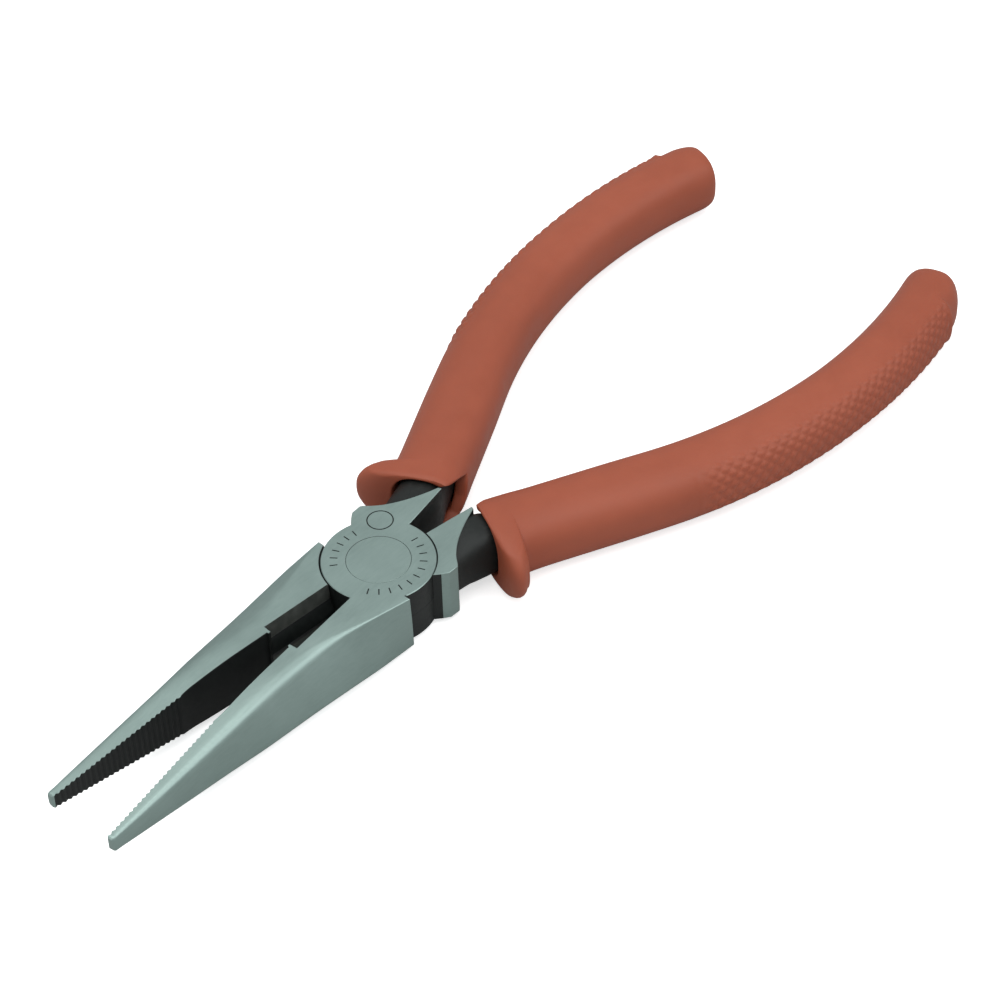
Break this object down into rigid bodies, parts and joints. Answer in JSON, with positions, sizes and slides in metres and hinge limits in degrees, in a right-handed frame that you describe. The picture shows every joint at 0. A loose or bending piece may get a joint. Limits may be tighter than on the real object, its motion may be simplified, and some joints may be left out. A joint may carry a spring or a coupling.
{
  "type": "needle nose pliers",
  "caption": "Long nose pliers with serrated jaws, side cutters behind the teeth, a riveted lap joint and curved moulded sleeves with finger guards.",
  "frame": {"origin": "on the rivet's axis, on the bottom face of the lap joint", "axes": "+X to the jaw tips along the middle of the open jaws, +Y to half_a's jaw, +Z along the rivet to the face on which half_a's round lap shows"},
  "size_m": [0.161, 0.063, 0.0104],
  "materials": {
    "steel_a": "satin ground faces, black oxide on the inner faces and the neck",
    "steel_b": "satin ground faces, black oxide on the inner faces and the neck",
    "rivet": "ground flush, satin",
    "sleeve_a": "satin soft PVC",
    "sleeve_b": "satin soft PVC"
  },
  "bodies": {
    "fixed_half": {"half_b": "steel_b", "pivot_rivet": "rivet", "grip_b": "sleeve_b"},
    "moving_half": {"half_a": "steel_a", "grip_a": "sleeve_a"}
  },
  "joints": [
    {"name": "pivot", "type": "hinge", "parent": "fixed_half", "child": "moving_half", "pos_m": [0, 0, 0.0045], "axis": [0, 0, 1], "range_deg": [-10, 37]}
  ]
}
